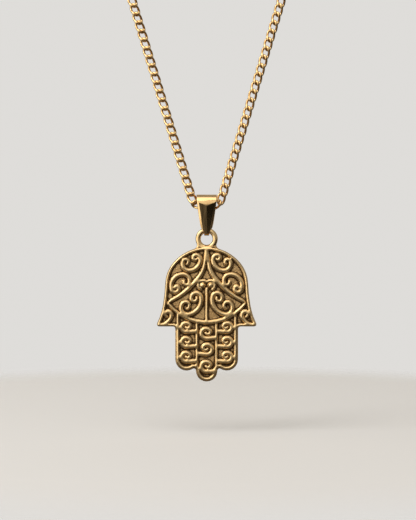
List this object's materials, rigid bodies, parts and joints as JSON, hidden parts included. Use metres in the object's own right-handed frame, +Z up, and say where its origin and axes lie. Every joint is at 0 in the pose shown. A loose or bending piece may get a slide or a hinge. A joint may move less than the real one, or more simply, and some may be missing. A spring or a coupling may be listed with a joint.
{
  "type": "hamsa pendant on a chain",
  "caption": "Cast hand-shaped charm with raised scrolls, hung by a folded bail from a whole curb chain loop.",
  "frame": {"origin": "middle of the clasp, where the loop sits on the nape of the neck", "axes": "+Z up, -Y towards the front of the pendant, +X to the right seen from the front"},
  "size_m": [0.1038, 0.0991, 0.2005],
  "materials": {
    "cast_gold": "antique gold casting, polished ridges over a dark grainy ground",
    "polished_gold": "polished gold",
    "chain_gold": "polished gold wire"
  },
  "bodies": {
    "loop": {"chain_left": "chain_gold", "chain_right": "chain_gold", "clasp": "chain_gold", "clasp_ring": "chain_gold"},
    "bail": {"bail": "polished_gold"},
    "hand": {"hamsa_hand": "cast_gold"}
  },
  "joints": [
    {"name": "bail_swing", "type": "hinge", "parent": "loop", "child": "bail", "pos_m": [0, -0.09438, -0.15366], "axis": [1, 0, 0], "range_deg": [-90, 90]},
    {"name": "hand_swing", "type": "hinge", "parent": "bail", "child": "hand", "pos_m": [0, -0.09438, -0.16015], "axis": [1, 0, 0], "range_deg": [-65, 65]}
  ]
}
